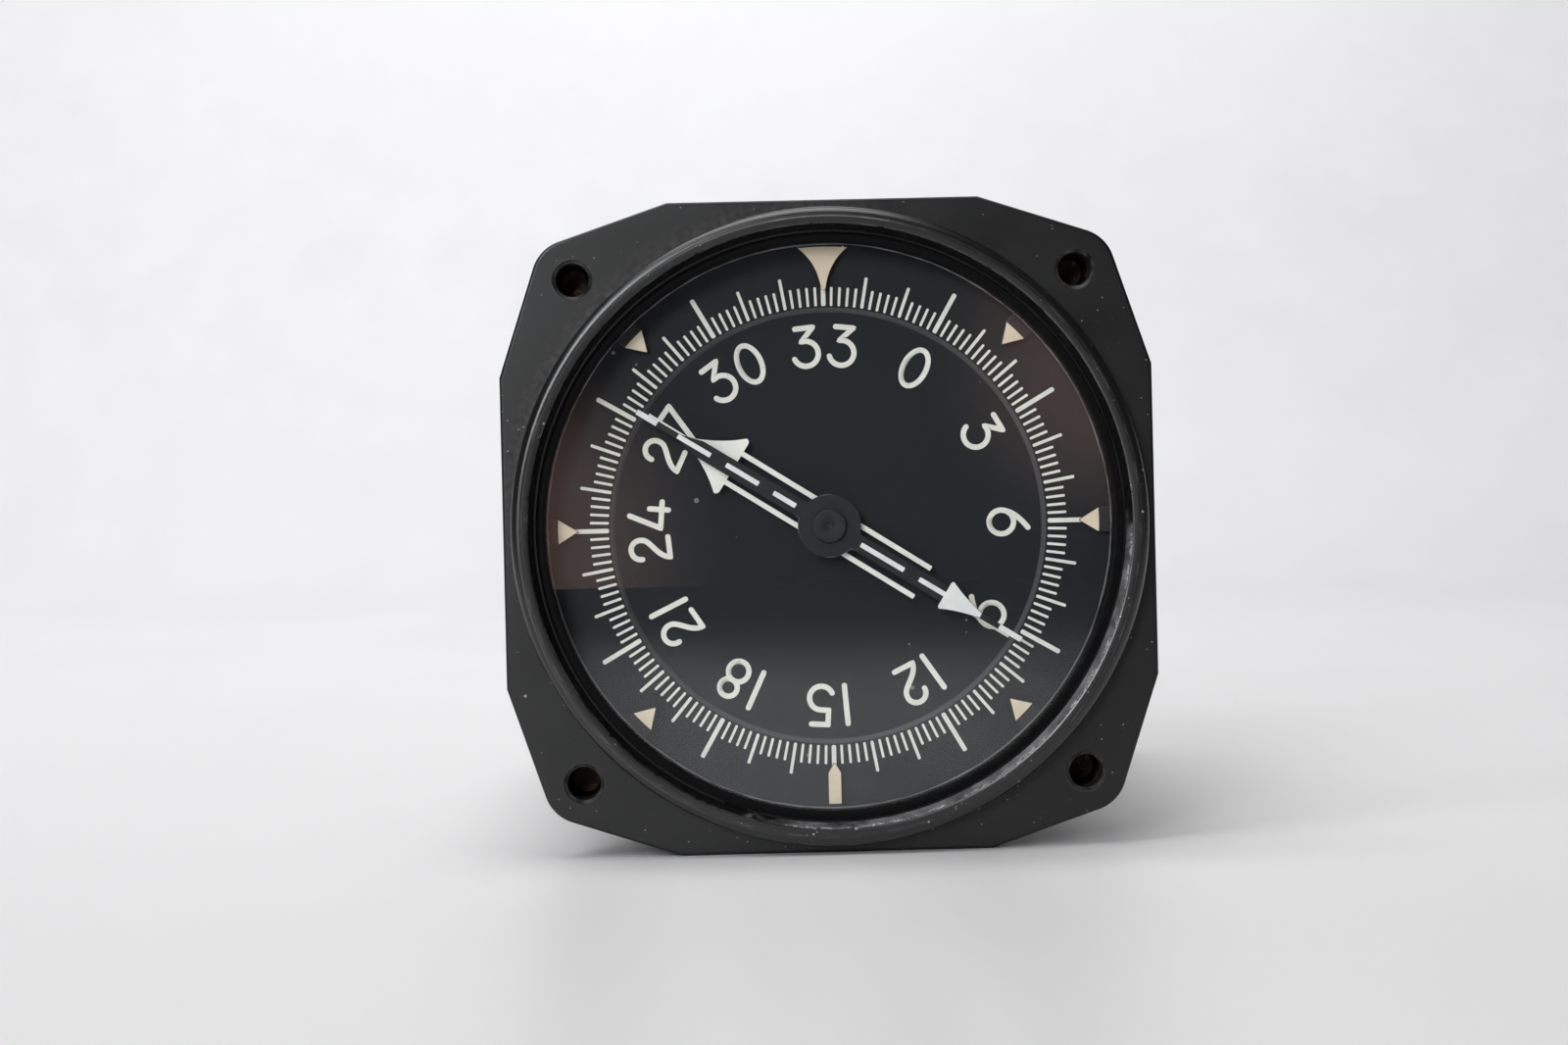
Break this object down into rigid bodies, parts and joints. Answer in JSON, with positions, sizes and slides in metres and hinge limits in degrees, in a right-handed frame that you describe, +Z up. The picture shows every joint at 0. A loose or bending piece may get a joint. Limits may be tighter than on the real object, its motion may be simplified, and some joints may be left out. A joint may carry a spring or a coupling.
{
  "type": "radio magnetic indicator",
  "caption": "Round panel instrument with a square flange: a servo-driven compass card under two bearing pointers on concentric shafts.",
  "frame": {"origin": "centre of the four mounting holes on the flange's front face, on the dial axis", "axes": "-Y out of the dial towards the reader, +Y along the case to the connector, +X to the right and +Z up as the dial is read"},
  "size_m": [0.0816, 0.147, 0.0816],
  "materials": {
    "black_paint": "satin black paint",
    "matte_black_paint": "matte black paint",
    "card_black": "matte blue-black paint",
    "pointer_cream": "matte cream paint",
    "ring_steel": "dull spring steel",
    "screw_steel": "blackened steel",
    "bearing_steel": "ground steel",
    "core_steel": "laminated steel",
    "plate_aluminium": "anodised aluminium",
    "brass": "machined brass",
    "gold_brass": "gold-plated brass",
    "copper_winding": "varnished copper wire",
    "cover_glass": "clear flat glass",
    "black_rubber": "black rubber",
    "dark_plastic": "moulded phenolic",
    "board_plastic": "epoxy board"
  },
  "bodies": {
    "housing": {"bezel": "black_paint", "glass_retaining_ring": "ring_steel", "cover_glass": "cover_glass", "glass_gasket": "black_rubber", "index_ring": "matte_black_paint", "dial_spacer": "matte_black_paint", "front_plate": "plate_aluminium", "case_screws": "screw_steel", "case_can": "black_paint", "can_gasket": "black_rubber", "rear_cover": "black_paint", "rear_cover_gasket": "black_rubber", "rear_cover_screws": "screw_steel", "connector_shell": "plate_aluminium", "connector_insert": "dark_plastic", "connector_contacts": "gold_brass", "connector_screws": "screw_steel", "gear_plate": "plate_aluminium", "mid_plate": "plate_aluminium", "rear_plate": "plate_aluminium", "frame_posts": "plate_aluminium", "frame_screws": "screw_steel", "idler_bushes": "brass", "outer_races": "bearing_steel", "bearing_balls": "bearing_steel", "card_synchro_housing": "plate_aluminium", "card_synchro_stator": "core_steel", "card_synchro_windings": "copper_winding", "pointer_synchro_housings": "plate_aluminium", "pointer_synchro_stators": "core_steel", "pointer_synchro_windings": "copper_winding", "synchro_end_caps": "plate_aluminium", "synchro_clamps": "plate_aluminium", "servo_motor": "core_steel", "amplifier_board": "board_plastic", "amplifier_transistors": "bearing_steel", "amplifier_capacitors": "board_plastic", "board_brackets": "plate_aluminium", "supply_transformer": "core_steel"},
    "card": {"compass_card": "card_black", "card_hub": "plate_aluminium", "card_shaft": "bearing_steel", "card_shaft_bush": "brass", "card_gear": "brass", "card_rotor": "core_steel", "card_inner_races": "bearing_steel"},
    "double_bar_pointer": {"double_pointer": "pointer_cream", "double_pointer_hub": "matte_black_paint", "double_shaft": "bearing_steel", "double_shaft_bush": "brass", "double_rotor": "core_steel", "double_inner_races": "bearing_steel"},
    "single_bar_pointer": {"single_pointer": "matte_black_paint", "pointer_cap": "matte_black_paint", "single_shaft": "bearing_steel", "single_rotor": "core_steel", "single_inner_races": "bearing_steel"},
    "idler": {"idler_gear": "brass", "idler_shaft": "bearing_steel"},
    "motor_output": {"motor_pinion": "brass"}
  },
  "joints": [
    {"name": "card_turn", "type": "hinge", "parent": "housing", "child": "card", "pos_m": [0, 0.0056, 0], "axis": [0, 1, 0], "continuous": true},
    {"name": "double_pointer_turn", "type": "hinge", "parent": "housing", "child": "double_bar_pointer", "pos_m": [0, 0.0035, 0], "axis": [0, 1, 0], "continuous": true},
    {"name": "single_pointer_turn", "type": "hinge", "parent": "housing", "child": "single_bar_pointer", "pos_m": [0, 0.0023, 0], "axis": [0, 1, 0], "continuous": true},
    {"name": "idler_turn", "type": "hinge", "parent": "housing", "child": "idler", "pos_m": [0.00739, 0.0178, 0.0203], "axis": [0, 1, 0], "continuous": true},
    {"name": "motor_turn", "type": "hinge", "parent": "housing", "child": "motor_output", "pos_m": [0.02115, 0.0178, 0.01295], "axis": [0, 1, 0], "continuous": true}
  ],
  "couplings": [
    {"joint": "idler_turn", "follows": "card_turn", "ratio": -5},
    {"joint": "motor_turn", "follows": "card_turn", "ratio": 16.667}
  ]
}
